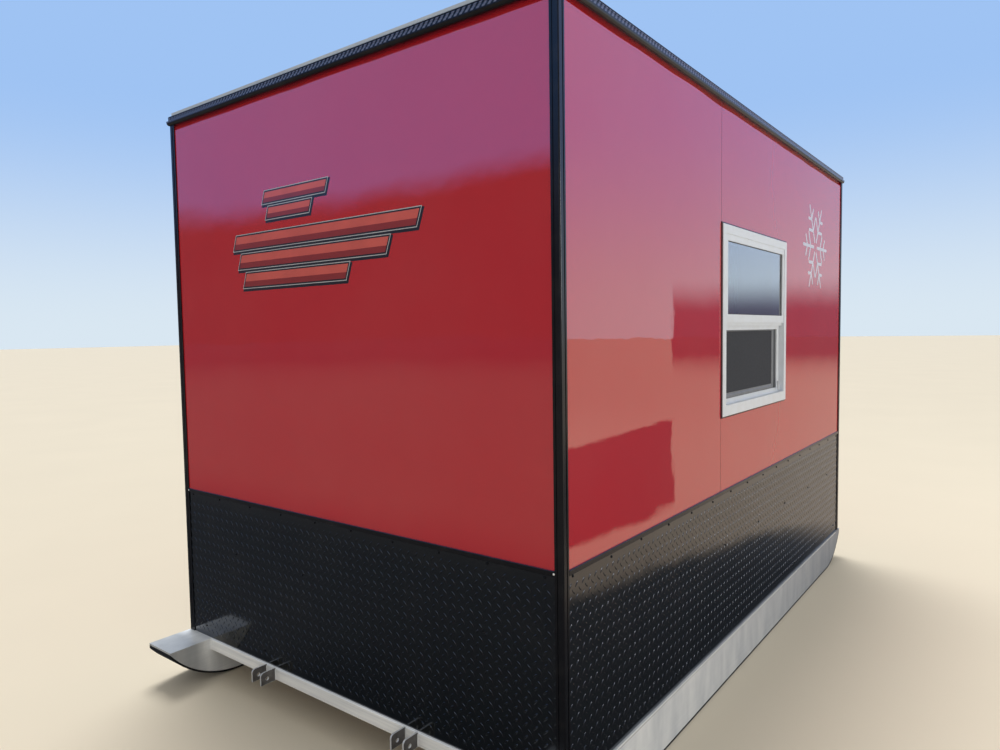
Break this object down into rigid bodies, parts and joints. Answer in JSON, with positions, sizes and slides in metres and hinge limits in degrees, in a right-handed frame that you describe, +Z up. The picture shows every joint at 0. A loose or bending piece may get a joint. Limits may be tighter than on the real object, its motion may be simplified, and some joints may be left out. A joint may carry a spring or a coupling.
{
  "type": "ice fishing hut",
  "caption": "Flat-roofed ice fishing hut on two ski runners: glossy red walls over black tread plate, black edge trims, a sash window in each side and hitch lugs on the front tube.",
  "frame": {"origin": "on the ice under the middle of the hut, measured from ski tip to ski tail and across both roof edges", "axes": "+Z up; the end wall with the hitch lugs faces -Y, the rear wall with the door faces +Y, and +X is to the right when looking along +Y at the hitch end"},
  "size_m": [2.009, 3.544, 2.459],
  "materials": {
    "red_skin": "gloss",
    "black_tread_plate": "gloss",
    "black_trim": "satin",
    "mill_aluminium": "mill",
    "sole_plastic": "matte",
    "white_vinyl": "smooth",
    "window_glass": "clear",
    "screen_mesh": "woven",
    "wall_lining": "smooth",
    "floor_board": "plain",
    "roof_membrane": "matte",
    "door_hardware": "satin"
  },
  "bodies": {
    "root": {"belt_trims": "black_trim", "door_frame": "black_trim", "door_hinges": "door_hardware", "door_kick_plate": "black_tread_plate", "door_latch": "door_hardware", "entry_door": "red_skin", "floor_bearers": "mill_aluminium", "floor_deck": "floor_board", "front_cross_tube": "mill_aluminium", "front_left_corner_trim": "black_trim", "front_right_corner_trim": "black_trim", "front_roof_edge_trim": "black_trim", "front_tread_plate": "black_tread_plate", "front_upper_skin": "red_skin", "front_wall": "wall_lining", "ice_hole_covers": "sole_plastic", "left_hitch_lug": "mill_aluminium", "left_insect_screen": "screen_mesh", "left_roof_edge_trim": "black_trim", "left_runner": "mill_aluminium", "left_runner_sole": "sole_plastic", "left_tread_plate": "black_tread_plate", "left_upper_skin": "red_skin", "left_wall": "wall_lining", "left_window_frame": "white_vinyl", "left_window_glass": "window_glass", "left_window_sash": "white_vinyl", "rear_left_corner_trim": "black_trim", "rear_right_corner_trim": "black_trim", "rear_roof_edge_trim": "black_trim", "rear_tread_plate": "black_tread_plate", "rear_upper_skin": "red_skin", "rear_wall_left": "wall_lining", "rear_wall_over_door": "wall_lining", "rear_wall_right": "wall_lining", "right_hitch_lug": "mill_aluminium", "right_insect_screen": "screen_mesh", "right_roof_edge_trim": "black_trim", "right_runner": "mill_aluminium", "right_runner_sole": "sole_plastic", "right_tread_plate": "black_tread_plate", "right_upper_skin": "red_skin", "right_wall": "wall_lining", "right_window_frame": "white_vinyl", "right_window_glass": "window_glass", "right_window_sash": "white_vinyl", "roof_panel": "wall_lining", "roof_sheet": "roof_membrane"}
  },
  "joints": []
}
